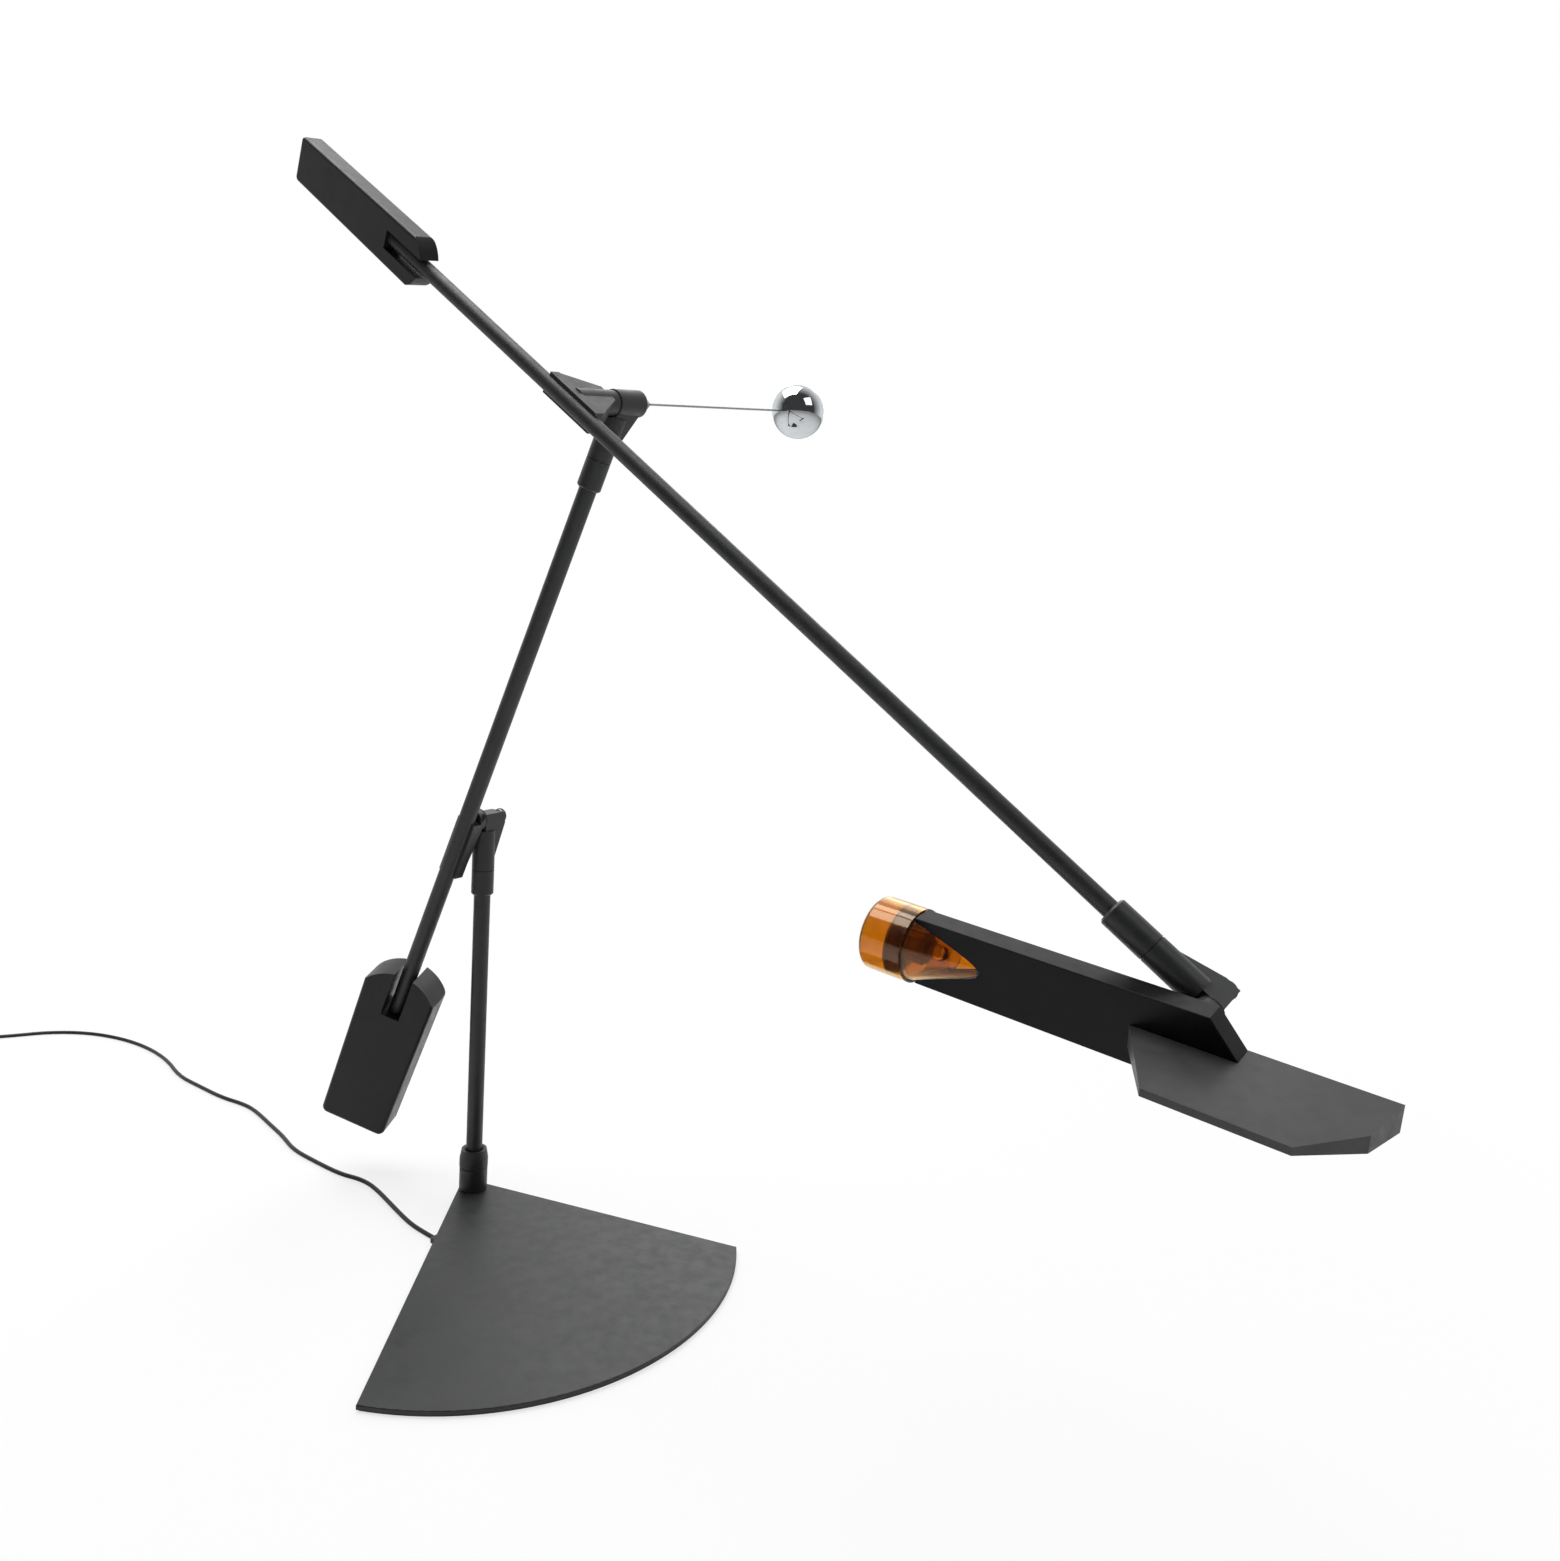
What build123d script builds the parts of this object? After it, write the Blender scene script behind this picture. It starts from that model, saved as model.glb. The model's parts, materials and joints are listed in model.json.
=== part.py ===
"""Counterweight balance desk lamp: two balanced arms on a mast over a sector-shaped base plate.

Millimetres, +Z up. The origin is on the mast's axis, on the surface that the lamp stands on.
Each arm hangs beside an elbow: a barrel turns on the pivot, and a swivel turns in the sleeve below it.
"""
import os
from itertools import combinations
from math import hypot, pi, radians, tan

from build123d import *

os.makedirs("parts", exist_ok=True)

# Base: a steel sector on a thin pad, with the mast near its corner.
PAD_THICKNESS = 1.5
PAD_INSET = 1.5
PLATE_THICKNESS = 3.5
PLATE_APEX = (-13.3, 17.3)
PLATE_LEFT_CORNER = (1.2, -295.1)
PLATE_RIGHT_CORNER = (239.6, -69.2)
PLATE_ARC_RISE = 79.3
PLATE_EDGE_ROUND = 0.6

# Mast and tubes.
MAST_TUBE_RADIUS = 7.0
LOWER_TUBE_RADIUS = 7.0
UPPER_TUBE_RADIUS = 5.9
TUBE_WALL = 1.9
SOCKET_RADIUS = 12.15
SOCKET_HEIGHT = 21.5
SOCKET_FLOOR = 4.0
LOCK_RING_RADIUS = 12.4
LOCK_RING_HEIGHT = 16.1
LOCK_RING_TAPER = 1.5
BOLT_RADIUS = 5.0
BOLT_HEAD_RADIUS = 8.5
BOLT_HEAD_HEIGHT = 1.9
BOLT_BORE = 2.4
LOCK_RING_TAPER_HEIGHT = 8.0
RIDGE_CHAMFER = 0.6
MOUTH_CHAMFER = 1.6

# Swivels: a sleeve on each tube's end, and a stud that turns in it.
FITTING_RADIUS = 9.4
SLEEVE_LENGTH = 21.5
LOWER_SLEEVE_LENGTH = 23.1
UPPER_SLEEVE_LENGTH = 30.4
SLEEVE_CAP = 8.0
SLEEVE_CHAMFER = 1.4
STUD_RADIUS = 3.0
STUD_COLLAR_RADIUS = 3.7
STUD_COLLAR_HEIGHT = 1.5
STUD_GRIP = 12.0
RUNNING_CLEARANCE = 0.05
FACE_CLEARANCE = 0.1
WASHER_THICKNESS = 0.5
WASHER_INSET = 0.5

# Elbows: a shank on the swivel, a web, and a barrel across it that holds the pivot pin.
SHANK_REACH = 45.0
WEB_THICKNESS = 15.0
WEB_START = 34.0
WEB_TOP = 5.0
WEB_REAR = 18.0
WEB_FOOT = 5.0
WEB_FRONT = 6.4
BARREL_RADIUS = 10.0
BARREL_FRONT = 7.4
BARREL_REAR = 21.0
BARREL_ROUND = 1.5
FACE_RELIEF = 0.4
PIN_RADIUS = 4.0
PIN_HEAD_RADIUS = 5.8
PIN_HEAD_HEIGHT = 2.4
PIN_GRIP = 6.5
RECESS_RADIUS = 6.2
RECESS_DEPTH = 4.2
CAP_THICKNESS = 1.2

# Where the arms are: the pose in which the lamp is shown. Angles in degrees.
LOWER_ARM_AZIMUTH = -26.16
LOWER_ARM_RISE = 68.17
PIVOT_1_HEIGHT = 341.5
LOWER_ARM_OFFSET = 23.5
LOWER_ARM_REACH = 363.9
PIVOT_2_AZIMUTH = -125.13
PIVOT_2_RISE = -7.91
UPPER_ARM_ANGLE = 76.53
UPPER_ARM_OFFSET = 54.3
UPPER_ARM_REACH = 588.0
PIVOT_3_AZIMUTH = -129.55
PIVOT_3_RISE = -13.90
HEAD_DIP = 4.27

# Brackets: a saddle behind the tube, and a gusset that rises to the pivot's boss.
SADDLE_LENGTH = 52.0
SADDLE_WALL = 2.4
BOSS_RADIUS = 9.2
SADDLE_1_MIDDLE = -25.0
SADDLE_2_MIDDLE = -2.0
BOSS_1_LENGTH = 3.0
BOSS_2_LENGTH = 8.5
SCREW_RADIUS = 1.5
SCREW_HEAD_RADIUS = 2.6
SCREW_HEAD_HEIGHT = 1.4
SCREWS_1 = (-46.0, -38.0)
SCREWS_2 = (-23.0, 19.0)
SCREW_ACCESS = 60.0

# Counterweights: forked slabs on the arms' free ends.
LOWER_WEIGHT = {
    "fork": 150.6, "shoulder": 168.0, "far": 311.0, "slot_end": 193.0, "slot_width": 17.0,
    "fork_width": 65.0, "far_width": 60.0, "thickness": 32.0, "corner": 6.0, "edge": 3.5, "grip": 39.0,
}
UPPER_WEIGHT = {
    "fork": 172.0, "shoulder": 185.5, "far": 339.0, "slot_end": 216.5, "slot_width": 14.4,
    "fork_width": 38.5, "far_width": 35.0, "thickness": 17.0, "corner": 3.5, "edge": 2.2, "grip": 36.0,
}
LOWER_WEIGHT_TWIST = -22.0
UPPER_WEIGHT_TWIST = -5.0
SLOT_MARGIN = 15.0
SET_SCREW_RADIUS = 2.5
SET_SCREW_SINK = 1.0
SET_SCREW_SOCKET = 2.0

# Balance ball on its wire rod.
CONE_LENGTH = 11.0
CONE_TIP_RADIUS = 1.8
ROD_RADIUS = 0.9
ROD_GRIP = 8.0
BALL_DISTANCE = 232.5
BALL_RADIUS = 24.0

# Head: a flat bar, a wedge-shaped fin and an amber end around the lamp.
HEAD_FRONT = 32.7
BAR_THICKNESS = 15.0
BAR_WALL = 1.8
BAR_TOP = 12.4
BAR_BOTTOM = -34.2
BAR_LEFT = -176.7
BAR_RIGHT_TOP = 9.5
BAR_END_LEAN = 0.82
BAR_ROUND = 0.7
FIN_TOP = -8.7
FIN_NEAR = 83.6
FIN_NEAR_THICKNESS = 5.0
FIN_DEPTH = 20.0
FIN_SCREW_DROP = 7.0
FIN_SCREWS = (-22.0, 12.0)
FIN_SCREW_GRIP = 8.0
FIN_SLOPE = 0.18
FIN_LEFT = -34.0
FIN_NEAR_LEFT = -5.0
FIN_NEAR_RIGHT = 71.6
FIN_SIDE = (98.2, 52.5)
FIN_RIGHT = 104.6
FIN_ROUND = 0.7
FOOT_LENGTH = 30.0
FOOT_WIDTH = 19.0
FOOT_THICKNESS = 2.5
FOOT_ROUND = 2.0
FOOT_MIDDLE = -6.5
FOOT_SCREWS = ((-16.5, -5.5), (-16.5, 5.5))
AMBER_RADIUS = 24.2
AMBER_WALL = 2.0
AMBER_LEFT = -210.0
AMBER_END_ROUND = 3.0
AMBER_CAP_LENGTH = 32.0
CONE_START_RADIUS = 22.6
CONE_TIP = -130.6
CONE_END_RADIUS = 7.5
HOLDER_RADIUS = 11.0
HOLDER_START = -191.0
HOLDER_LENGTH = 19.0
HOLDER_FLANGE = 1.5
HOLDER_RIBS = 12
HOLDER_RIB_DEPTH = 1.2
HOLDER_RIB_WIDTH = 2.4
CAPSULE_RADIUS = 5.0
CAPSULE_SEAT = 3.0
CAPSULE_LENGTH = 13.0
REFLECTOR_START = -176.0
REFLECTOR_DEPTH = 24.0
REFLECTOR_RADIUS = 19.8
REFLECTOR_END_RADIUS = 8.0
REFLECTOR_WALL = 0.8

# Wires inside the tubes, and the cord on the floor.
WIRE_RADIUS = 1.2
WIRE_TO_WALL = 0.2
WIRE_SHORT = 4.0
GROOVE_WIDTH = 3.0
GROOVE_ROOF = 4.1
PLATE_WIRE_HEIGHT = 2.75
CORD_RADIUS = 1.9
CORD_ROUTE = [
    (-10.0, -82.7), (-23.7, -72.8), (-37.5, -61.3), (-56.8, -39.6), (-86.3, -5.1), (-103.6, 7.7),
    (-124.6, 14.5), (-157.2, 36.0), (-184.0, 55.1), (-203.5, 79.6), (-225.6, 102.4), (-255.5, 133.6),
    (-273.3, 145.6), (-299.4, 156.8), (-333.7, 179.9), (-366.1, 201.8), (-397.0, 239.5), (-434.0, 270.0),
    (-474.0, 291.0), (-518.0, 302.0), (-561.0, 297.0), (-597.0, 276.0), (-628.0, 263.0), (-657.0, 263.0),
]
UNDER_ROUTE = [(0.0, 0.0), (17.0, -55.0), (22.0, -92.0)]
UNDER_LEAD = 14.0
UNDER_RADIUS = 5.0
GLAND_LENGTH = 9.0
GLAND_WIDTH = 9.0
GLAND_HEIGHT = 4.6
GLAND_ROUND = 0.8
COIL_TURNS_IN_A_LAYER = 4
COIL_PITCH = 4.35
COIL_LIFT = 0.8
COIL_OUTER_RADIUS = 29.9
COIL_TAIL = 35.0
COIL_SAMPLES = 1200
ARC_SHARE = 0.45
TIE_WIDTH = 7.0
TIE_THICKNESS = 0.5
TIE_CLEARANCE = 0.2
TIE_BOW = 1.6
PLUG_TAIL_LENGTH = 24.0
PLUG_TAIL_RADIUS = 3.0
PLUG_NECK_RADIUS = 5.0
PLUG_NECK_WIDTH = 13.0
PLUG_WIDTH = 34.0
PLUG_FLARE = 10.0
PLUG_LENGTH = 36.0
PLUG_ROUND = 1.5
PIN_SPACING = 18.6
PLUG_PIN_RADIUS = 2.0
PLUG_PIN_LENGTH = 19.0


def heading(azimuth, rise):
    """Return the unit vector at an azimuth in the floor plane and a rise above it."""
    return Vector(1, 0, 0).rotate(Axis.Y, -rise).rotate(Axis.Z, azimuth)


def square_to(vector, axis):
    """Return the unit vector nearest to a vector that is square to an axis."""
    return (vector - axis * vector.dot(axis)).normalized()


def keep(piece, label):
    """Label a finished piece and write it to its own file."""
    piece.part.label = label
    export_step(piece.part, f"parts/{label}.step")


def disc(plane, radius, start, length, mode=Mode.ADD):
    """Add a cylinder on a plane's axis, from a start height, to the part at hand, or take it away."""
    with Locations(plane.offset(start)):
        Cylinder(radius, length, align=(Align.CENTER, Align.CENTER, Align.MIN), mode=mode)


def cut_disc(plane, radius, start, length):
    """Take a cylinder on a plane's axis out of the part at hand."""
    disc(plane, radius, start, length, Mode.SUBTRACT)


# Frames of the pose. Each pivot axis points from its elbow to the bracket that it carries.
pivot_1 = heading(LOWER_ARM_AZIMUTH - 90, 0)
lower_axis = heading(LOWER_ARM_AZIMUTH, LOWER_ARM_RISE)
centre_1 = Vector(0, 0, PIVOT_1_HEIGHT)
lower_arm = Plane(origin=centre_1 + pivot_1 * LOWER_ARM_OFFSET, x_dir=pivot_1, z_dir=lower_axis)
centre_2 = lower_arm.origin + lower_axis * LOWER_ARM_REACH
pivot_2 = heading(PIVOT_2_AZIMUTH, PIVOT_2_RISE)
upper_axis = square_to(lower_axis, pivot_2).rotate(Axis((0, 0, 0), pivot_2), UPPER_ARM_ANGLE)
upper_arm = Plane(origin=centre_2 + pivot_2 * UPPER_ARM_OFFSET, x_dir=pivot_2, z_dir=upper_axis)
centre_3 = upper_arm.origin - upper_axis * UPPER_ARM_REACH
pivot_3 = square_to(heading(PIVOT_3_AZIMUTH, PIVOT_3_RISE), upper_axis)
level = heading(PIVOT_3_AZIMUTH + 90, 0)
head_axis = square_to(level, pivot_3).rotate(Axis((0, 0, 0), pivot_3), -HEAD_DIP)
head = Plane(origin=centre_3, x_dir=head_axis, z_dir=pivot_3)

# Heights that several pieces share.
PLATE_TOP = PAD_THICKNESS + PLATE_THICKNESS
SOCKET_TOP = PLATE_TOP + SOCKET_HEIGHT
MAST_TOP = PIVOT_1_HEIGHT - SHANK_REACH
SEAM = FACE_CLEARANCE + WASHER_THICKNESS
BOSS_FACE = BARREL_FRONT + SEAM


def sector(inset):
    """Return the plate's outline: two straight edges from the apex, and an arc between their ends."""
    left = Vector(*PLATE_LEFT_CORNER)
    right = Vector(*PLATE_RIGHT_CORNER)
    chord = right - left
    outward = Vector(chord.Y, -chord.X).normalized()
    middle = (left + right) * 0.5 + outward * PLATE_ARC_RISE
    with BuildSketch() as outline:
        with BuildLine():
            Line(PLATE_APEX, PLATE_LEFT_CORNER)
            ThreePointArc(PLATE_LEFT_CORNER, (middle.X, middle.Y), PLATE_RIGHT_CORNER)
            Line(PLATE_RIGHT_CORNER, PLATE_APEX)
        make_face()
        if inset > 0:
            offset(amount=-inset, kind=Kind.INTERSECTION, mode=Mode.REPLACE)
    return outline.sketch


# Where the cord leaves the base: a strain relief across the plate's left edge.
cord_start = Vector(*CORD_ROUTE[0])
cord_heading = (Vector(*CORD_ROUTE[1]) - cord_start).normalized()
gland_end = cord_start - cord_heading * GLAND_LENGTH
gland_plane = Plane(origin=cord_start, x_dir=cord_heading, z_dir=(0, 0, 1))
with BuildSketch(gland_plane) as gland_outline:
    with Locations((-GLAND_LENGTH / 2, 0)):
        Rectangle(GLAND_LENGTH, GLAND_WIDTH)

# The wire's route under the plate, and the groove around it.
under_turn = gland_end - cord_heading * UNDER_LEAD
under_points = [*UNDER_ROUTE, (under_turn.X, under_turn.Y), (gland_end.X, gland_end.Y)]
with BuildLine(Plane.XY.offset(PLATE_WIRE_HEIGHT)) as under_path:
    FilletPolyline(*under_points, radius=UNDER_RADIUS)
with BuildSketch(Plane.XY.offset(PAD_THICKNESS)) as groove_outline:
    with BuildLine():
        FilletPolyline(*under_points, radius=UNDER_RADIUS)
    trace(line_width=GROOVE_WIDTH)
    Circle(BOLT_BORE)

with BuildPart() as base_pad:
    with BuildSketch():
        add(sector(PAD_INSET))
    extrude(amount=PAD_THICKNESS)
    extrude(gland_outline.sketch, amount=PAD_THICKNESS, mode=Mode.SUBTRACT)
keep(base_pad, "base_pad")

with BuildPart() as base_plate:
    with BuildSketch(Plane.XY.offset(PAD_THICKNESS)):
        add(sector(0))
    extrude(amount=PLATE_THICKNESS)
    fillet(base_plate.faces().sort_by(Axis.Z)[-1].outer_wire().edges(), PLATE_EDGE_ROUND)
    cut_disc(Plane.XY, BOLT_RADIUS, PAD_THICKNESS, PLATE_THICKNESS)
    cut_disc(Plane.XY, BOLT_HEAD_RADIUS, PAD_THICKNESS, BOLT_HEAD_HEIGHT)
    extrude(groove_outline.sketch, amount=GROOVE_ROOF - PAD_THICKNESS, mode=Mode.SUBTRACT)
    extrude(gland_outline.sketch, amount=GLAND_HEIGHT, mode=Mode.SUBTRACT)
keep(base_plate, "base_plate")

with BuildPart() as cord_gland:
    extrude(gland_outline.sketch, amount=GLAND_HEIGHT)
    fillet(cord_gland.edges().filter_by(Axis.Z), GLAND_ROUND)
keep(cord_gland, "cord_gland")

with BuildPart() as mast_socket:
    disc(Plane.XY, SOCKET_RADIUS, PLATE_TOP, SOCKET_HEIGHT)
    chamfer(mast_socket.faces().sort_by(Axis.Z)[-1].outer_wire().edges(), RIDGE_CHAMFER)
    cut_disc(Plane.XY, MAST_TUBE_RADIUS, PLATE_TOP + SOCKET_FLOOR, SOCKET_HEIGHT)
    cut_disc(Plane.XY, BOLT_RADIUS, PLATE_TOP, SOCKET_FLOOR)
keep(mast_socket, "mast_socket")

with BuildPart() as mast_lock_ring:
    disc(Plane.XY, LOCK_RING_RADIUS, SOCKET_TOP, LOCK_RING_HEIGHT)
    top_rim = mast_lock_ring.edges().sort_by(Axis.Z)[-1]
    top_face = mast_lock_ring.faces().sort_by(Axis.Z)[-1]
    chamfer(top_rim, LOCK_RING_TAPER, LOCK_RING_TAPER_HEIGHT, reference=top_face)
    chamfer(mast_lock_ring.faces().sort_by(Axis.Z)[0].outer_wire().edges(), RIDGE_CHAMFER)
    cut_disc(Plane.XY, MAST_TUBE_RADIUS, SOCKET_TOP, LOCK_RING_HEIGHT)
    chamfer(mast_lock_ring.faces().sort_by(Axis.Z)[-1].inner_wires()[0].edges(), MOUTH_CHAMFER)
keep(mast_lock_ring, "mast_lock_ring")

with BuildPart() as socket_bolt:
    disc(Plane.XY, BOLT_HEAD_RADIUS, PAD_THICKNESS, BOLT_HEAD_HEIGHT)
    disc(Plane.XY, BOLT_RADIUS, PAD_THICKNESS, PLATE_THICKNESS + SOCKET_FLOOR)
    cut_disc(Plane.XY, BOLT_BORE, PAD_THICKNESS, PLATE_THICKNESS + SOCKET_FLOOR)
    extrude(groove_outline.sketch, amount=GROOVE_ROOF - PAD_THICKNESS, mode=Mode.SUBTRACT)
keep(socket_bolt, "socket_bolt")

with BuildPart() as plate_wire:
    with BuildSketch(Plane(origin=under_path.line @ 0, z_dir=under_path.line % 0)):
        Circle(WIRE_RADIUS)
    sweep(path=under_path.line)
keep(plate_wire, "plate_wire")


def make_tube(frame, radius, start, end, label):
    """Make a plain tube on a frame's axis."""
    with BuildPart() as tube:
        disc(frame, radius, start, end - start)
        cut_disc(frame, radius - TUBE_WALL, start, end - start)
    keep(tube, label)


def make_wire(frame, radius, start, end, label):
    """Make a wire that lies along the inside wall of a tube."""
    with BuildPart() as wire:
        with BuildSketch(frame.offset(start)):
            with Locations((0, radius - TUBE_WALL - WIRE_RADIUS - WIRE_TO_WALL)):
                Circle(WIRE_RADIUS)
        extrude(amount=end - start)
    keep(wire, label)


def make_sleeve(seam, tube_radius, length, label):
    """Make the sleeve on a tube's end. The seam's plane is its end face, facing the elbow."""
    with BuildPart() as sleeve:
        disc(seam, FITTING_RADIUS, -length, length)
        rim = sleeve.edges().filter_by(GeomType.CIRCLE).sort_by(Axis(seam.origin, seam.z_dir))[0]
        chamfer(rim, SLEEVE_CHAMFER)
        cut_disc(seam, tube_radius, -length, length - SLEEVE_CAP)
        cut_disc(seam, STUD_RADIUS + RUNNING_CLEARANCE, -SLEEVE_CAP, SLEEVE_CAP)
    keep(sleeve, label)


def make_stud(seam, label):
    """Make the stud that is fixed in an elbow's shank and turns in the sleeve below it."""
    collar_top = -SLEEVE_CAP - FACE_CLEARANCE
    with BuildPart() as stud:
        disc(seam, STUD_COLLAR_RADIUS, collar_top - STUD_COLLAR_HEIGHT, STUD_COLLAR_HEIGHT)
        disc(seam, STUD_RADIUS, collar_top, SEAM + STUD_GRIP - collar_top)
    keep(stud, label)


def make_washer(plane, start, outer, inner, label):
    """Make a thin washer on a plane's axis."""
    with BuildPart() as washer:
        disc(plane, outer, start, WASHER_THICKNESS)
        cut_disc(plane, inner, start, WASHER_THICKNESS)
    keep(washer, label)


def make_elbow(centre, shank_axis, pivot_axis, label):
    """Make an elbow: a shank up from the swivel, a web, and the barrel that holds the pivot pin."""
    across = square_to(pivot_axis, shank_axis)
    shank = Plane(origin=centre, x_dir=across, z_dir=shank_axis)
    side = Plane(origin=centre, x_dir=across, z_dir=across.cross(shank_axis))
    barrel = Plane(origin=centre, z_dir=pivot_axis)
    lean = pivot_axis.dot(shank_axis) / pivot_axis.dot(across)
    shank_start = SEAM - SHANK_REACH
    web = [
        (WEB_FOOT, -WEB_START),
        (-WEB_FOOT, -WEB_START),
        (-WEB_REAR, -WEB_TOP - WEB_REAR * lean),
        (-WEB_REAR, WEB_TOP - WEB_REAR * lean),
        (WEB_FRONT, WEB_TOP + WEB_FRONT * lean),
        (WEB_FRONT, -WEB_TOP + WEB_FRONT * lean),
    ]
    with BuildPart() as elbow:
        disc(barrel, BARREL_RADIUS, -BARREL_REAR, BARREL_REAR + BARREL_FRONT)
        rear = elbow.edges().filter_by(GeomType.CIRCLE).sort_by(Axis(centre, pivot_axis))[0]
        fillet(rear, BARREL_ROUND)
        disc(shank, FITTING_RADIUS, shank_start, SHANK_REACH - SEAM - BARREL_RADIUS)
        with BuildSketch(side):
            Polygon(*web, align=None)
        extrude(amount=WEB_THICKNESS / 2, both=True)
        cut_disc(barrel, PIN_RADIUS + RUNNING_CLEARANCE, -BARREL_REAR, BARREL_REAR + BARREL_FRONT)
        cut_disc(barrel, RECESS_RADIUS, -BARREL_REAR, RECESS_DEPTH)
        cut_disc(barrel, BARREL_RADIUS + FACE_RELIEF, BARREL_FRONT, 2 * BARREL_RADIUS)
        cut_disc(shank, STUD_RADIUS, shank_start, STUD_GRIP)
    keep(elbow, label)
    return barrel


def make_pivot(barrel, grip, number):
    """Make the pin that is fixed in the bracket and turns in the barrel, and its washer."""
    head_face = RECESS_DEPTH - BARREL_REAR - FACE_CLEARANCE
    with BuildPart() as pin:
        disc(barrel, PIN_HEAD_RADIUS, head_face - PIN_HEAD_HEIGHT, PIN_HEAD_HEIGHT)
        disc(barrel, PIN_RADIUS, head_face, BOSS_FACE + grip - head_face)
    keep(pin, f"pivot_pin_{number}")
    start = BARREL_FRONT + FACE_CLEARANCE
    make_washer(barrel, start, BARREL_RADIUS - WASHER_INSET, PIN_RADIUS, f"friction_washer_{number}")


def make_cap(barrel, number):
    """Make the disc that closes the barrel's rear recess."""
    with BuildPart() as cap:
        disc(barrel, RECESS_RADIUS, -BARREL_REAR, CAP_THICKNESS)
    keep(cap, f"pivot_cap_{number}")


def make_bracket(arm, tube_radius, offset_to_pivot, saddle_middle, boss_length, screw_heights, number):
    """Make the bracket that carries an arm's tube: its saddle, its gusset and the pivot's boss."""
    back = -tube_radius - SADDLE_WALL
    half_width = tube_radius + SADDLE_WALL
    boss_face = BOSS_FACE - offset_to_pivot
    boss_root = boss_face + boss_length
    low = saddle_middle - SADDLE_LENGTH / 2
    high = saddle_middle + SADDLE_LENGTH / 2
    side = Plane(origin=arm.origin, x_dir=arm.x_dir, z_dir=arm.x_dir.cross(arm.z_dir))
    boss = Plane(origin=arm.origin, z_dir=arm.x_dir)
    gusset = [(back + 0.5, low), (back + 0.5, high), (boss_root, BOSS_RADIUS - 0.7)]
    gusset += [(boss_root, 0.7 - BOSS_RADIUS)]
    with BuildPart() as bracket:
        with BuildSketch(side):
            with Locations((back / 2, saddle_middle)):
                Rectangle(-back, SADDLE_LENGTH)
        extrude(amount=half_width, both=True)
        with BuildSketch(side):
            Polygon(*gusset, align=None)
        extrude(amount=half_width - 0.4, both=True)
        disc(boss, BOSS_RADIUS, boss_face, back + 1.0 - boss_face)
        cut_disc(arm, tube_radius, low - 20, SADDLE_LENGTH + 40)
        cut_disc(boss, PIN_RADIUS, boss_face, PIN_GRIP)
        for height in screw_heights:
            hole = Plane(origin=arm.origin + arm.z_dir * height, z_dir=arm.x_dir)
            cut_disc(hole, SCREW_RADIUS, back, SADDLE_WALL)
            cut_disc(hole, SCREW_HEAD_RADIUS, back - SCREW_ACCESS, SCREW_ACCESS)
    keep(bracket, f"bracket_{number}")


def make_screws(arm, tube_radius, screw_heights, number):
    """Make the two screws that clamp a bracket's saddle on its tube, as one group."""
    seat = -tube_radius - SADDLE_WALL
    with BuildPart() as screws:
        for height in screw_heights:
            hole = Plane(origin=arm.origin + arm.z_dir * height, z_dir=arm.x_dir)
            disc(hole, SCREW_HEAD_RADIUS, seat - SCREW_HEAD_HEIGHT, SCREW_HEAD_HEIGHT)
            disc(hole, SCREW_RADIUS, seat, SADDLE_WALL)
    keep(screws, f"bracket_screws_{number}")


def make_counterweight(arm_end, size, twist, tube_radius, label):
    """Make a forked slab. The plane's axis runs from the pivot out along the tube."""
    width = arm_end.x_dir.rotate(Axis((0, 0, 0), arm_end.z_dir), 90 + twist)
    slab = Plane(origin=arm_end.origin, x_dir=width, z_dir=arm_end.z_dir)
    face = Plane(origin=slab.origin, x_dir=slab.x_dir, z_dir=slab.x_dir.cross(slab.z_dir))
    half_fork = size["fork_width"] / 2
    half_far = size["far_width"] / 2
    with BuildPart() as weight:
        with BuildSketch(face):
            with BuildLine():
                Line((-half_fork, size["shoulder"]), (-half_far, size["far"]))
                Line((-half_far, size["far"]), (half_far, size["far"]))
                Line((half_far, size["far"]), (half_fork, size["shoulder"]))
                ThreePointArc((half_fork, size["shoulder"]), (0, size["fork"]), (-half_fork, size["shoulder"]))
            make_face()
        extrude(amount=size["thickness"] / 2, both=True)
        far_corners = weight.edges().filter_by(Axis(face.origin, face.z_dir))
        far_corners = far_corners.sort_by(Axis(slab.origin, slab.z_dir))[-2:]
        fillet(far_corners, size["corner"])
        long_edges = weight.edges().filter_by(lambda edge: edge.length > size["far"] - size["slot_end"])
        fillet(long_edges, size["edge"])
        with Locations(slab.offset((size["fork"] + size["slot_end"]) / 2 - SLOT_MARGIN)):
            Box(
                size["slot_width"],
                2 * size["thickness"],
                size["slot_end"] - size["fork"] + 2 * SLOT_MARGIN,
                mode=Mode.SUBTRACT,
            )
        cut_disc(slab, tube_radius, size["slot_end"] - 1, size["grip"] + 1)
        hole = Plane(origin=slab.origin + slab.z_dir * (size["slot_end"] + size["grip"] / 2), z_dir=-face.z_dir)
        cut_disc(hole, SET_SCREW_RADIUS, tube_radius, size["thickness"])
    keep(weight, label)
    return hole


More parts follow.
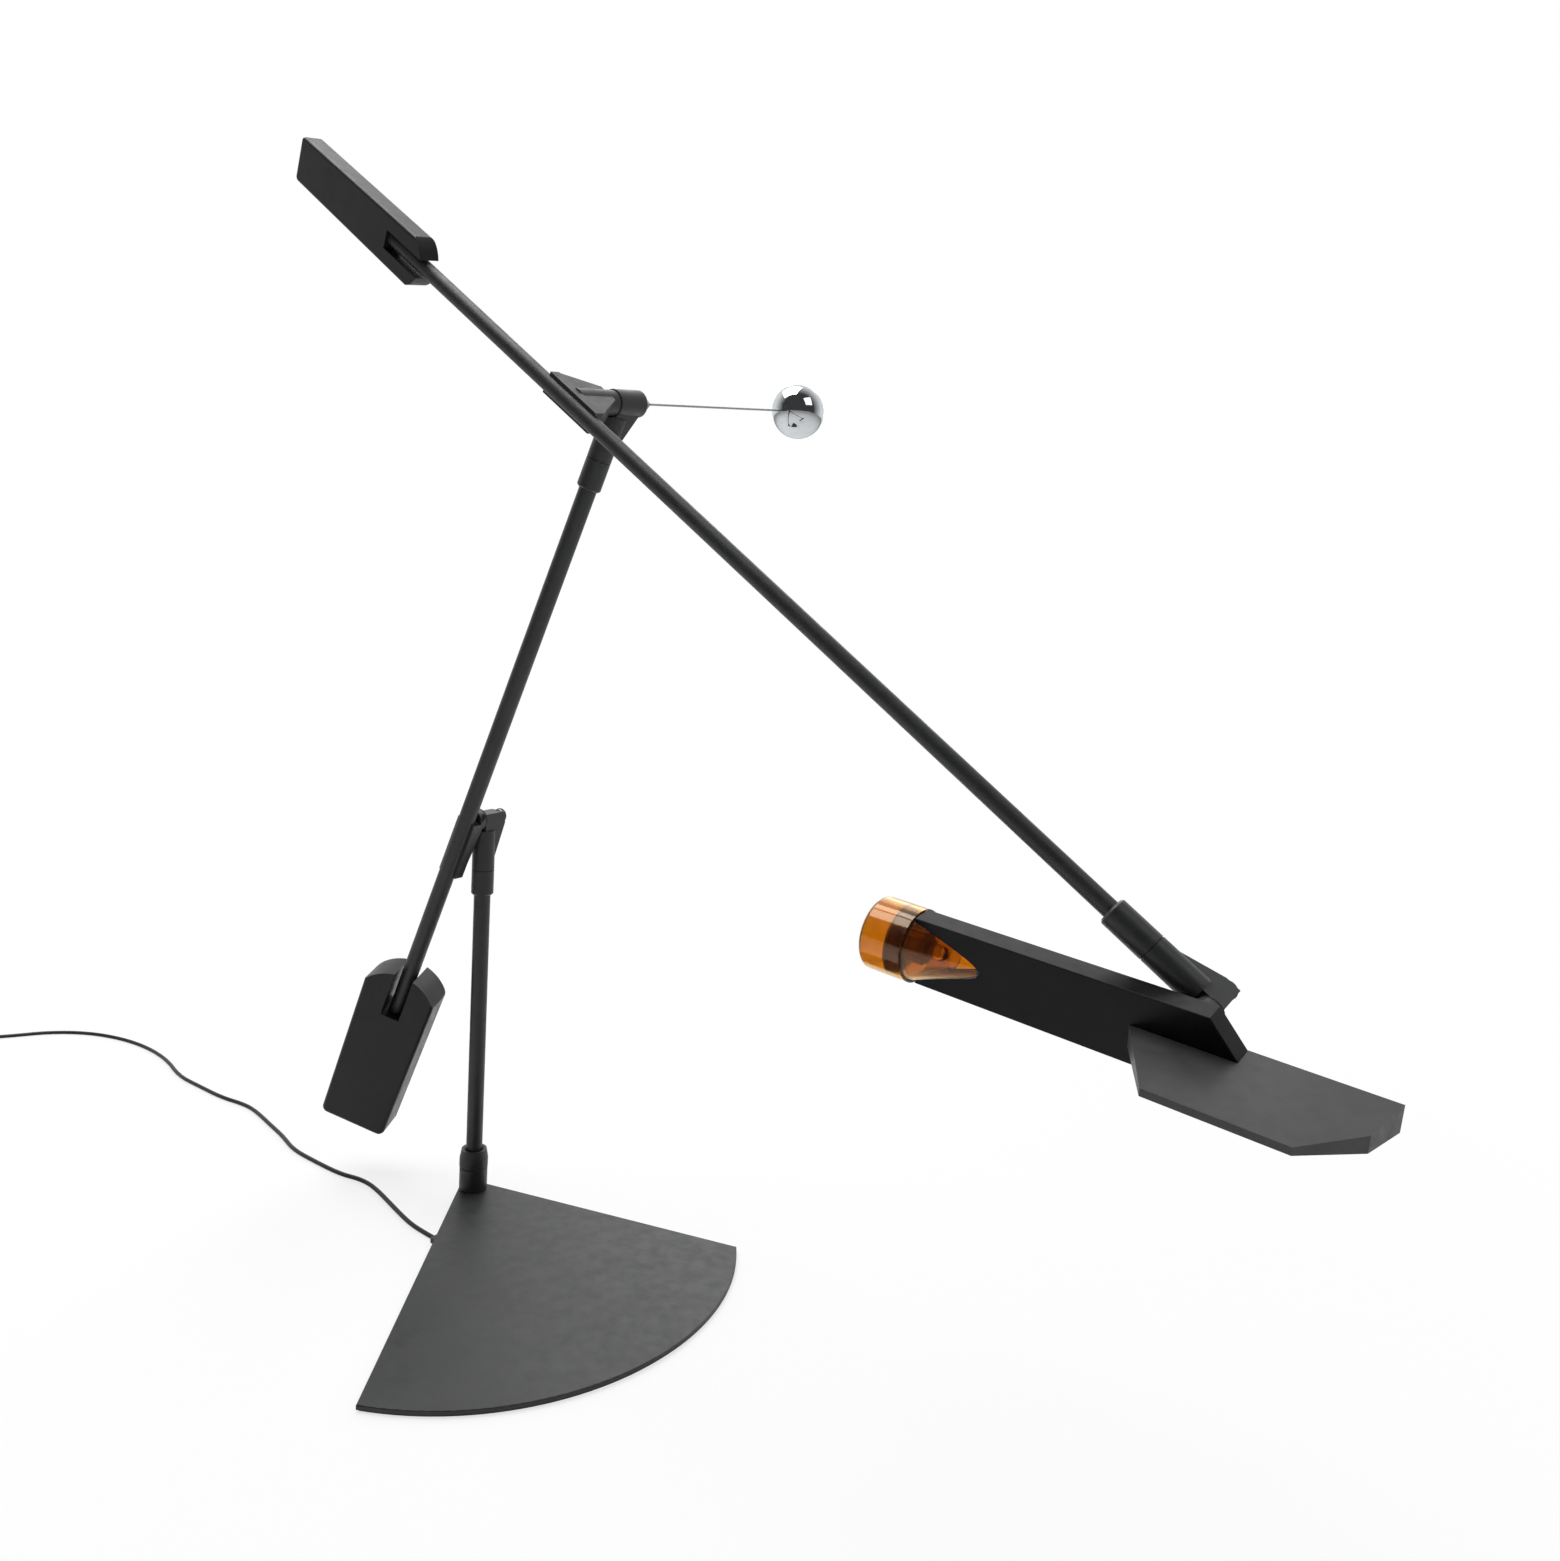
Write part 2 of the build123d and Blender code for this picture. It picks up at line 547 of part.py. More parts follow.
def make_set_screw(hole, size, tube_radius, number):
    """Make the screw that clamps a counterweight to its tube."""
    with BuildPart() as screw:
        disc(hole, SET_SCREW_RADIUS, tube_radius, size["thickness"] / 2 - tube_radius - SET_SCREW_SINK)
        with BuildSketch(hole.offset(size["thickness"] / 2 - SET_SCREW_SINK - SET_SCREW_SOCKET)):
            RegularPolygon(SET_SCREW_RADIUS / 2, 6)
        extrude(amount=SET_SCREW_SOCKET, mode=Mode.SUBTRACT)
    keep(screw, f"counterweight_screw_{number}")


# Mast.
mast_seam = Plane.XY.offset(MAST_TOP)
mast_tube_end = MAST_TOP - SLEEVE_CAP
make_tube(Plane.XY, MAST_TUBE_RADIUS, PLATE_TOP + SOCKET_FLOOR, mast_tube_end, "mast_tube")
make_wire(Plane.XY, MAST_TUBE_RADIUS, PLATE_TOP + SOCKET_FLOOR, mast_tube_end - WIRE_SHORT, "mast_wire")
make_sleeve(mast_seam, MAST_TUBE_RADIUS, SLEEVE_LENGTH, "mast_sleeve")
make_stud(mast_seam, "swivel_stud_1")
make_washer(mast_seam, FACE_CLEARANCE, FITTING_RADIUS - WASHER_INSET, STUD_RADIUS, "swivel_washer_1")
barrel_1 = make_elbow(centre_1, Vector(0, 0, 1), pivot_1, "elbow_1")
make_pivot(barrel_1, PIN_GRIP, 1)
make_cap(barrel_1, 1)

# Lower arm.
lower_seam = lower_arm.offset(LOWER_ARM_REACH - SHANK_REACH)
lower_tube_end = LOWER_ARM_REACH - SHANK_REACH - SLEEVE_CAP
lower_tube_start = -LOWER_WEIGHT["slot_end"] - LOWER_WEIGHT["grip"]
make_bracket(lower_arm, LOWER_TUBE_RADIUS, LOWER_ARM_OFFSET, SADDLE_1_MIDDLE, BOSS_1_LENGTH, SCREWS_1, 1)
make_screws(lower_arm, LOWER_TUBE_RADIUS, SCREWS_1, 1)
make_tube(lower_arm, LOWER_TUBE_RADIUS, lower_tube_start, lower_tube_end, "lower_arm_tube")
make_wire(lower_arm, LOWER_TUBE_RADIUS, 0, lower_tube_end - WIRE_SHORT, "lower_arm_wire")
make_sleeve(lower_seam, LOWER_TUBE_RADIUS, LOWER_SLEEVE_LENGTH, "sleeve_2")
lower_end = Plane(origin=lower_arm.origin, x_dir=lower_arm.x_dir, z_dir=-lower_arm.z_dir)
lower_hole = make_counterweight(
    lower_end, LOWER_WEIGHT, LOWER_WEIGHT_TWIST, LOWER_TUBE_RADIUS, "lower_counterweight"
)
make_set_screw(lower_hole, LOWER_WEIGHT, LOWER_TUBE_RADIUS, 1)
make_stud(lower_seam, "swivel_stud_2")
make_washer(lower_seam, FACE_CLEARANCE, FITTING_RADIUS - WASHER_INSET, STUD_RADIUS, "swivel_washer_2")
barrel_2 = make_elbow(centre_2, lower_axis, pivot_2, "elbow_2")
make_pivot(barrel_2, PIN_GRIP, 2)

# Balance ball on the second barrel's conical end.
with BuildPart() as rod_cone:
    disc(barrel_2, RECESS_RADIUS, -BARREL_REAR, CAP_THICKNESS)
    with Locations(barrel_2.offset(-BARREL_REAR - CONE_LENGTH)):
        Cone(
            CONE_TIP_RADIUS,
            BARREL_RADIUS - BARREL_ROUND,
            CONE_LENGTH,
            align=(Align.CENTER, Align.CENTER, Align.MIN),
        )
    cut_disc(barrel_2, ROD_RADIUS, -BARREL_REAR - CONE_LENGTH, ROD_GRIP)
keep(rod_cone, "rod_cone")

rod_end = -BARREL_REAR - CONE_LENGTH + ROD_GRIP
rod_start = BALL_RADIUS - ROD_GRIP - BALL_DISTANCE
with BuildPart() as ball_rod:
    disc(barrel_2, ROD_RADIUS, rod_start, rod_end - rod_start)
keep(ball_rod, "ball_rod")

with BuildPart() as chrome_ball:
    with Locations(barrel_2.offset(-BALL_DISTANCE)):
        Sphere(BALL_RADIUS)
    cut_disc(barrel_2, ROD_RADIUS, rod_start, ROD_GRIP + BALL_RADIUS)
keep(chrome_ball, "chrome_ball")

# Upper arm.
upper_down = Plane(origin=upper_arm.origin, x_dir=upper_arm.x_dir, z_dir=-upper_arm.z_dir)
upper_seam = upper_down.offset(UPPER_ARM_REACH - SHANK_REACH)
upper_tube_end = UPPER_ARM_REACH - SHANK_REACH - SLEEVE_CAP
upper_tube_start = -UPPER_WEIGHT["slot_end"] - UPPER_WEIGHT["grip"]
make_bracket(upper_arm, UPPER_TUBE_RADIUS, UPPER_ARM_OFFSET, SADDLE_2_MIDDLE, BOSS_2_LENGTH, SCREWS_2, 2)
make_screws(upper_arm, UPPER_TUBE_RADIUS, SCREWS_2, 2)
make_tube(upper_down, UPPER_TUBE_RADIUS, upper_tube_start, upper_tube_end, "upper_arm_tube")
make_wire(upper_down, UPPER_TUBE_RADIUS, 0, upper_tube_end - WIRE_SHORT, "upper_arm_wire")
make_sleeve(upper_seam, UPPER_TUBE_RADIUS, UPPER_SLEEVE_LENGTH, "sleeve_3")
upper_hole = make_counterweight(
    upper_arm, UPPER_WEIGHT, UPPER_WEIGHT_TWIST, UPPER_TUBE_RADIUS, "upper_counterweight"
)
make_set_screw(upper_hole, UPPER_WEIGHT, UPPER_TUBE_RADIUS, 2)
make_stud(upper_seam, "swivel_stud_3")
make_washer(upper_seam, FACE_CLEARANCE, FITTING_RADIUS - WASHER_INSET, STUD_RADIUS, "swivel_washer_3")
barrel_3 = make_elbow(centre_3, -upper_axis, pivot_3, "elbow_3")
make_cap(barrel_3, 3)

# Head. Its plane's X runs along the bar, Y up its face and Z to its front.
BAR_REAR = HEAD_FRONT - BAR_THICKNESS
FOOT_FACE = BAR_REAR - FOOT_THICKNESS
BAR_MIDDLE = HEAD_FRONT - BAR_THICKNESS / 2
AMBER_HEIGHT = (BAR_TOP + BAR_BOTTOM) / 2
bar_right_bottom = BAR_RIGHT_TOP + BAR_END_LEAN * (BAR_TOP - BAR_BOTTOM)
make_pivot(barrel_3, FOOT_FACE - BOSS_FACE + FOOT_THICKNESS, 3)
amber = Plane(origin=head.from_local_coords((0, AMBER_HEIGHT, BAR_MIDDLE)), x_dir=head.y_dir, z_dir=head.x_dir)


def bar_outline(inset):
    """Return the bar's side view, drawn in from its outline."""
    with BuildSketch() as outline:
        Polygon(
            (BAR_LEFT, BAR_BOTTOM), (bar_right_bottom, BAR_BOTTOM), (BAR_RIGHT_TOP, BAR_TOP), (BAR_LEFT, BAR_TOP),
            align=None,
        )
        if inset > 0:
            offset(amount=-inset, kind=Kind.INTERSECTION, mode=Mode.REPLACE)
    return outline.sketch


with BuildPart() as head_bracket:
    with BuildSketch(head.offset(FOOT_FACE)):
        with Locations((FOOT_MIDDLE, 0)):
            RectangleRounded(FOOT_LENGTH, FOOT_WIDTH, FOOT_ROUND)
    extrude(amount=FOOT_THICKNESS)
    disc(head, BOSS_RADIUS, BOSS_FACE, FOOT_FACE - BOSS_FACE)
    cut_disc(head, PIN_RADIUS, BOSS_FACE, BAR_REAR - BOSS_FACE)
    with Locations(head.offset(FOOT_FACE)):
        with Locations(*FOOT_SCREWS):
            Cylinder(SCREW_RADIUS, 2 * FOOT_THICKNESS, mode=Mode.SUBTRACT)
keep(head_bracket, "head_bracket")

with BuildPart() as bracket_screws_3:
    with Locations(head.offset(FOOT_FACE - SCREW_HEAD_HEIGHT)):
        with Locations(*FOOT_SCREWS):
            Cylinder(SCREW_HEAD_RADIUS, SCREW_HEAD_HEIGHT, align=(Align.CENTER, Align.CENTER, Align.MIN))
    with Locations(head.offset(FOOT_FACE)):
        with Locations(*FOOT_SCREWS):
            Cylinder(SCREW_RADIUS, FOOT_THICKNESS + BAR_WALL, align=(Align.CENTER, Align.CENTER, Align.MIN))
keep(bracket_screws_3, "bracket_screws_3")

cone_height = CONE_TIP - AMBER_LEFT - AMBER_CAP_LENGTH
fin_screw_places = [head.from_local_coords((x, FIN_TOP - FIN_SCREW_DROP, 0)) for x in FIN_SCREWS]
fin_screw_lines = [Plane(origin=place, x_dir=head.x_dir, z_dir=head.z_dir) for place in fin_screw_places]
with BuildPart() as head_bar:
    with BuildSketch(head.offset(BAR_REAR)):
        add(bar_outline(0))
    extrude(amount=BAR_THICKNESS)
    fillet(head_bar.edges().filter_by(lambda edge: edge.length > BAR_TOP - BAR_BOTTOM), BAR_ROUND)
    with BuildSketch(head.offset(BAR_REAR + BAR_WALL)):
        add(bar_outline(BAR_WALL))
        with Locations((BAR_LEFT, AMBER_HEIGHT)):
            Rectangle(4 * BAR_WALL, BAR_TOP - BAR_BOTTOM - 2 * BAR_WALL)
    extrude(amount=BAR_THICKNESS - 2 * BAR_WALL, mode=Mode.SUBTRACT)
    with Locations(amber.offset(AMBER_LEFT + AMBER_CAP_LENGTH)):
        Cone(CONE_START_RADIUS, CONE_END_RADIUS, cone_height,
             align=(Align.CENTER, Align.CENTER, Align.MIN), mode=Mode.SUBTRACT)
    with Locations(head.offset(BAR_REAR)):
        with Locations(*FOOT_SCREWS):
            Cylinder(SCREW_RADIUS, 2 * BAR_WALL, mode=Mode.SUBTRACT)
    for line in fin_screw_lines:
        cut_disc(line, SCREW_RADIUS, HEAD_FRONT - BAR_WALL, BAR_WALL)
keep(head_bar, "head_bar")

fin_top = Plane(origin=head.from_local_coords((0, FIN_TOP, 0)), x_dir=head.x_dir, z_dir=-head.y_dir)
fin_under = Plane(
    origin=head.from_local_coords((0, FIN_TOP - FIN_NEAR_THICKNESS, FIN_NEAR)),
    x_dir=head.x_dir,
    z_dir=head.y_dir - head.z_dir * FIN_SLOPE,
)
fin_back_left = BAR_RIGHT_TOP + BAR_END_LEAN * (BAR_TOP - FIN_TOP)
with BuildPart() as head_fin:
    with BuildSketch(fin_top):
        Polygon(
            (FIN_LEFT, HEAD_FRONT), (FIN_NEAR_LEFT, FIN_NEAR), (FIN_NEAR_RIGHT, FIN_NEAR), FIN_SIDE,
            (FIN_RIGHT, BAR_REAR), (fin_back_left, BAR_REAR), (fin_back_left, HEAD_FRONT),
            align=None,
        )
    extrude(amount=FIN_DEPTH)
    split(bisect_by=fin_under, keep=Keep.TOP)
    with BuildSketch(head.offset(BAR_REAR)):
        add(bar_outline(0))
    extrude(amount=BAR_THICKNESS, mode=Mode.SUBTRACT)
    for line in fin_screw_lines:
        cut_disc(line, SCREW_RADIUS, HEAD_FRONT, FIN_SCREW_GRIP)
keep(head_fin, "head_fin")

with BuildPart() as fin_screws:
    for line in fin_screw_lines:
        disc(line, SCREW_RADIUS, HEAD_FRONT - BAR_WALL, BAR_WALL + FIN_SCREW_GRIP)
        disc(line, SCREW_HEAD_RADIUS, HEAD_FRONT - BAR_WALL - SCREW_HEAD_HEIGHT, SCREW_HEAD_HEIGHT)
keep(fin_screws, "fin_screws")

# Amber end: a cap and a cone that share one axis, with the lamp inside.
cone_start = AMBER_LEFT + AMBER_CAP_LENGTH
cone_slope = (CONE_START_RADIUS - CONE_END_RADIUS) / cone_height
with BuildPart() as amber_cap:
    disc(amber, AMBER_RADIUS, AMBER_LEFT, AMBER_CAP_LENGTH)
    left_rim = amber_cap.edges().filter_by(GeomType.CIRCLE).sort_by(Axis(amber.origin, amber.z_dir))[0]
    fillet(left_rim, AMBER_END_ROUND)
    cut_disc(amber, AMBER_RADIUS - AMBER_WALL, AMBER_LEFT + AMBER_WALL, AMBER_CAP_LENGTH)
keep(amber_cap, "amber_cap")

with BuildPart() as amber_cone:
    with Locations(amber.offset(cone_start)):
        Cone(CONE_START_RADIUS, CONE_END_RADIUS, cone_height, align=(Align.CENTER, Align.CENTER, Align.MIN))
        Cone(
            CONE_START_RADIUS - AMBER_WALL,
            CONE_END_RADIUS - AMBER_WALL + cone_slope * AMBER_WALL,
            cone_height - AMBER_WALL,
            align=(Align.CENTER, Align.CENTER, Align.MIN),
            mode=Mode.SUBTRACT,
        )
keep(amber_cone, "amber_cone")

with BuildPart() as lampholder:
    disc(amber, HOLDER_RADIUS - HOLDER_RIB_DEPTH, HOLDER_START, HOLDER_LENGTH)
    with Locations(amber.offset(HOLDER_START)):
        with PolarLocations(HOLDER_RADIUS - HOLDER_RIB_DEPTH, HOLDER_RIBS):
            Box(
                2 * HOLDER_RIB_DEPTH,
                HOLDER_RIB_WIDTH,
                HOLDER_LENGTH,
                align=(Align.CENTER, Align.CENTER, Align.MIN),
            )
    disc(amber, AMBER_RADIUS - AMBER_WALL, HOLDER_START, HOLDER_FLANGE)
    cut_disc(amber, CAPSULE_RADIUS, HOLDER_START + HOLDER_LENGTH - CAPSULE_SEAT, CAPSULE_SEAT)
keep(lampholder, "lampholder")

capsule_start = HOLDER_START + HOLDER_LENGTH - CAPSULE_SEAT
with BuildPart() as halogen_capsule:
    disc(amber, CAPSULE_RADIUS, capsule_start, CAPSULE_LENGTH)
    with Locations(amber.offset(capsule_start + CAPSULE_LENGTH)):
        Sphere(CAPSULE_RADIUS)
keep(halogen_capsule, "halogen_capsule")

with BuildPart() as reflector:
    with Locations(amber.offset(REFLECTOR_START)):
        Cone(REFLECTOR_RADIUS, REFLECTOR_END_RADIUS, REFLECTOR_DEPTH, align=(Align.CENTER, Align.CENTER, Align.MIN))
        Cone(
            REFLECTOR_RADIUS - REFLECTOR_WALL,
            REFLECTOR_END_RADIUS - REFLECTOR_WALL,
            REFLECTOR_DEPTH,
            align=(Align.CENTER, Align.CENTER, Align.MIN),
            mode=Mode.SUBTRACT,
        )
keep(reflector, "reflector")


def corner_radii(points):
    """Return a radius for each corner: 0.45 of its shorter run over the tangent of half its turn."""
    radii = []
    for before, corner, after in zip(points, points[1:], points[2:]):
        arriving = Vector(*corner) - Vector(*before)
        leaving = Vector(*after) - Vector(*corner)
        half_turn = radians(arriving.get_angle(leaving)) / 2
        radii.append(ARC_SHARE * min(arriving.length, leaving.length) / tan(half_turn))
    return radii


# The free cord on the floor.
cord_points = [(x, y, CORD_RADIUS) for x, y in CORD_ROUTE[:-2]]
cord_points += [(x, y, CORD_RADIUS + COIL_LIFT) for x, y in CORD_ROUTE[-2:]]
cord_radii = corner_radii(cord_points)
with BuildLine() as cord_path:
    FilletPolyline(*cord_points, radius=cord_radii)
cord_wire = cord_path.wires()[0]
with BuildPart() as cord_run:
    with BuildSketch(Plane(origin=cord_points[0], z_dir=cord_heading)):
        Circle(CORD_RADIUS)
    sweep(path=cord_wire)
keep(cord_run, "cord_run")
cord_volume = pi * CORD_RADIUS**2 * cord_wire.length
print("cord corner radii:", [round(radius, 1) for radius in cord_radii])
print("cord volume over section times length:", round(cord_run.part.volume / cord_volume, 4))

# The coil: half turns that spiral in, climb in the innermost one and spiral out on top.
ahead = (Vector(*CORD_ROUTE[-1]) - Vector(*CORD_ROUTE[-2])).normalized()
inward = Vector(ahead.Y, -ahead.X)
first_radii = [COIL_OUTER_RADIUS - step * COIL_PITCH / 2 for step in range(2 * COIL_TURNS_IN_A_LAYER)]
half_turns = [(radius, 0) for radius in first_radii]
half_turns += [(first_radii[-1] - COIL_PITCH / 2, COIL_PITCH)]
half_turns += [(radius, 0) for radius in reversed(first_radii[1:])]
coil_start = Vector(*cord_points[-1])
turn_start = coil_start + ahead * 2 * CORD_RADIUS
coil_centre = turn_start + inward * COIL_OUTER_RADIUS
with BuildLine() as coil_path:
    Line(coil_start, turn_start)
    side = 1
    for radius, rise in half_turns:
        turn_end = turn_start + inward * 2 * radius * side + Vector(0, 0, rise)
        turn_middle = (turn_start + turn_end) * 0.5 + ahead * side * hypot(radius, rise / 2)
        ThreePointArc(turn_start, turn_middle, turn_end)
        turn_start = turn_end
        side = -side
    coil_end = turn_start + ahead * COIL_TAIL
    Line(turn_start, coil_end)
coil_wire = coil_path.wires()[0]
with BuildPart() as cord_coil:
    with BuildSketch(Plane(origin=coil_start, z_dir=ahead)):
        Circle(CORD_RADIUS)
    sweep(path=coil_wire)
keep(cord_coil, "cord_coil")
coil_volume = pi * CORD_RADIUS**2 * coil_wire.length
print("coil volume over section times length:", round(cord_coil.part.volume / coil_volume, 4))

samples = [coil_wire @ (index / COIL_SAMPLES) for index in range(COIL_SAMPLES + 1)]
apart = int(6 * CORD_RADIUS / coil_wire.length * COIL_SAMPLES) + 1
least = min(
    (samples[i] - samples[j]).length
    for i, j in combinations(range(COIL_SAMPLES + 1), 2)
    if j - i > apart
)
print("coil's least gap to itself:", round(least - 2 * CORD_RADIUS, 3))
print("cord length:", round(cord_wire.length + coil_wire.length, 1))

# The tie passes round both layers on the side that faces back along the cord.
tie_inner = first_radii[-1] - CORD_RADIUS - TIE_BOW
tie_outer = first_radii[1] + CORD_RADIUS + TIE_CLEARANCE
tie_height = COIL_PITCH + 2 * (CORD_RADIUS + TIE_CLEARANCE)
tie_middle = coil_centre - ahead * (tie_inner + tie_outer) / 2 + Vector(0, 0, COIL_PITCH / 2)
with BuildPart() as coil_tie:
    with BuildSketch(Plane(origin=tie_middle, x_dir=ahead, z_dir=inward)):
        Rectangle(tie_outer - tie_inner + 2 * TIE_THICKNESS, tie_height + 2 * TIE_THICKNESS)
        Rectangle(tie_outer - tie_inner, tie_height, mode=Mode.SUBTRACT)
    extrude(amount=TIE_WIDTH / 2, both=True)
keep(coil_tie, "coil_tie")

# The two-pin plug: a tapered sleeve on the cord, a flat body and its pins.
plug_axis = Plane(origin=coil_end, x_dir=inward, z_dir=ahead)
plug_floor = Plane(origin=(coil_end.X, coil_end.Y, 0), x_dir=ahead, z_dir=(0, 0, 1))
plug_front = PLUG_TAIL_LENGTH + PLUG_LENGTH
with BuildPart() as plug_body:
    with BuildSketch(plug_floor):
        Polygon(
            (PLUG_TAIL_LENGTH, -PLUG_NECK_WIDTH / 2), (PLUG_TAIL_LENGTH + PLUG_FLARE, -PLUG_WIDTH / 2),
            (plug_front, -PLUG_WIDTH / 2), (plug_front, PLUG_WIDTH / 2),
            (PLUG_TAIL_LENGTH + PLUG_FLARE, PLUG_WIDTH / 2), (PLUG_TAIL_LENGTH, PLUG_NECK_WIDTH / 2),
            align=None,
        )
    extrude(amount=2 * coil_end.Z)
    chamfer(plug_body.faces().sort_by(Axis.Z)[-1].edges(), PLUG_ROUND)
    with Locations(plug_axis):
        Cone(
            PLUG_TAIL_RADIUS,
            PLUG_NECK_RADIUS,
            PLUG_TAIL_LENGTH + 1.0,
            align=(Align.CENTER, Align.CENTER, Align.MIN),
        )
keep(plug_body, "plug_body")

with BuildPart() as plug_pins:
    with Locations(plug_axis.offset(plug_front)):
        with GridLocations(PIN_SPACING, 0, 2, 1):
            Cylinder(PLUG_PIN_RADIUS, PLUG_PIN_LENGTH, align=(Align.CENTER, Align.CENTER, Align.MIN))
keep(plug_pins, "plug_pins")

# The joints' places and axes.
for name, point, axis in (
    ("mast swivel", Vector(0, 0, MAST_TOP), Vector(0, 0, 1)),
    ("lower arm tilt", centre_1, pivot_1),
    ("second elbow swivel", lower_seam.origin, lower_axis),
    ("upper arm tilt", centre_2, pivot_2),
    ("third elbow swivel", upper_seam.origin, -upper_axis),
    ("head tilt", centre_3, pivot_3),
):
    print(name, "at", [round(value, 3) for value in point], "axis", [round(value, 6) for value in axis])
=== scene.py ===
"""Dressed scene of the counterweight balance desk lamp: finishes, cord, floor, light and camera."""

import json
import logging
import math
from dataclasses import dataclass, field
from enum import Enum

import bmesh
import bpy
from mathutils import Matrix, Vector


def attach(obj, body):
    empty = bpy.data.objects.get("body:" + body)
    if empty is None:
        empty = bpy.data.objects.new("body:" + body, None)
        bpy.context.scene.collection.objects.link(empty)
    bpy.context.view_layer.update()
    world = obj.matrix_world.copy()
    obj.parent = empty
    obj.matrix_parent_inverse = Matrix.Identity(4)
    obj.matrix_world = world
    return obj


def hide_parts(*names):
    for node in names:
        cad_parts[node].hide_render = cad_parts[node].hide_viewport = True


LOG = logging.getLogger("lamp")
MM = 0.001
# Most of a noise pattern's values lie between these two.
NOISE_LOW, NOISE_HIGH = 0.3, 0.7
# A Mix node of two colours keeps them in these inputs, and its result in this output.
FIRST_COLOUR, SECOND_COLOUR, MIXED_COLOUR = 6, 7, 2
RESIN_IOR = 1.5
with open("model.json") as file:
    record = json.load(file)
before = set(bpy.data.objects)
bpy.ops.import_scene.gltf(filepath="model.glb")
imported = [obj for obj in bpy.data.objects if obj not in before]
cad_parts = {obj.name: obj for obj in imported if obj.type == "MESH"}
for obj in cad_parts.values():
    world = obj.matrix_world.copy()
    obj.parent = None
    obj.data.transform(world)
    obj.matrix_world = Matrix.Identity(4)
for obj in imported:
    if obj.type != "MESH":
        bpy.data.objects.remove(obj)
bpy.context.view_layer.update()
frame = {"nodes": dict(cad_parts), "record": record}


def linear(code: str) -> tuple[float, float, float, float]:
    """Turn an sRGB hex colour into linear light.

    Args:
        code: The colour as "#rrggbb".

    Returns:
        Red, green, blue and alpha, each from 0 to 1.
    """
    parts = [int(code[i:i + 2], 16) / 255 for i in (1, 3, 5)]
    light = [p / 12.92 if p <= 0.04045 else ((p + 0.055) / 1.055) ** 2.4 for p in parts]
    return (light[0], light[1], light[2], 1.0)


class Nodes:
    """A node tree, with one way to add a node and fill its inputs."""

    def __init__(self, tree: bpy.types.NodeTree) -> None:
        """Start from an empty tree.

        Args:
            tree: The tree of a material or of a world.
        """
        self.tree = tree
        self.tree.nodes.clear()

    def feed(self, target: bpy.types.NodeSocket, value: object) -> None:
        """Fill an input.

        Args:
            target: The input socket.
            value: A plain value, or another node's output to link.
        """
        if isinstance(value, bpy.types.NodeSocket):
            self.tree.links.new(value, target)
        else:
            target.default_value = value

    def add(
        self,
        kind: str,
        settings: dict[str, object] | None = None,
        places: dict[int, object] | None = None,
        **sockets: object,
    ) -> bpy.types.Node:
        """Add a node.

        Args:
            kind: The node's type name.
            settings: Properties of the node.
            places: What fills its inputs, by their number, where inputs share a name.
            sockets: What fills its inputs, by their name with _ for a space.

        Returns:
            The new node.
        """
        node = self.tree.nodes.new(kind)
        for key, value in (settings or {}).items():
            setattr(node, key, value)
        for number, value in (places or {}).items():
            self.feed(node.inputs[number], value)
        for key, value in sockets.items():
            name = key.replace("_", " ")
            self.feed(next(s for s in node.inputs if s.name == name and s.enabled), value)
        return node


